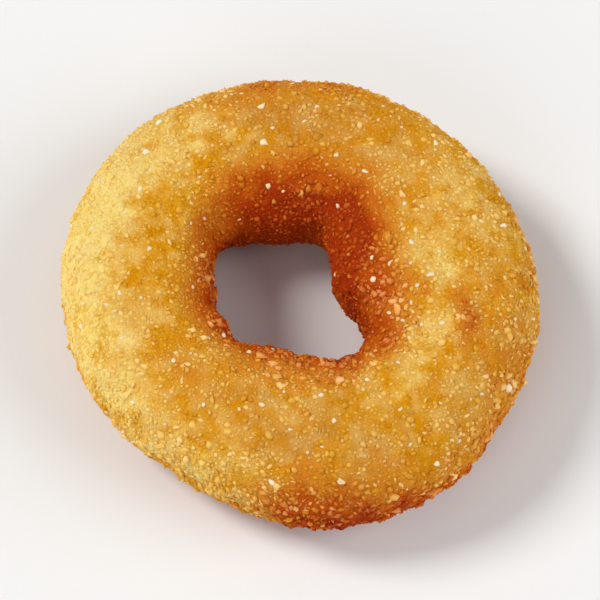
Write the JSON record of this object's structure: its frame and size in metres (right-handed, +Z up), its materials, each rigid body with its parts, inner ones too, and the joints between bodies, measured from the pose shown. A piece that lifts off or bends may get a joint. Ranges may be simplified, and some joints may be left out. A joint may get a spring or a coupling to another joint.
{
  "type": "breaded onion ring",
  "caption": "Thick fried onion ring in a golden crumb coat, slightly out of round, lying flat with an open hole through its middle.",
  "frame": {"origin": "middle of the ring's outline, on the flat underside that it rests on", "axes": "+Z up along the way through the hole; -Y towards the viewer, so that the straighter stretch of the rim is at -X -Y"},
  "size_m": [0.0606, 0.0616, 0.0171],
  "materials": {
    "crumb_coat": "dry, rough, golden brown fried crumb with paler grains and browner edges"
  },
  "bodies": {
    "root": {"ring": "crumb_coat"}
  },
  "joints": []
}
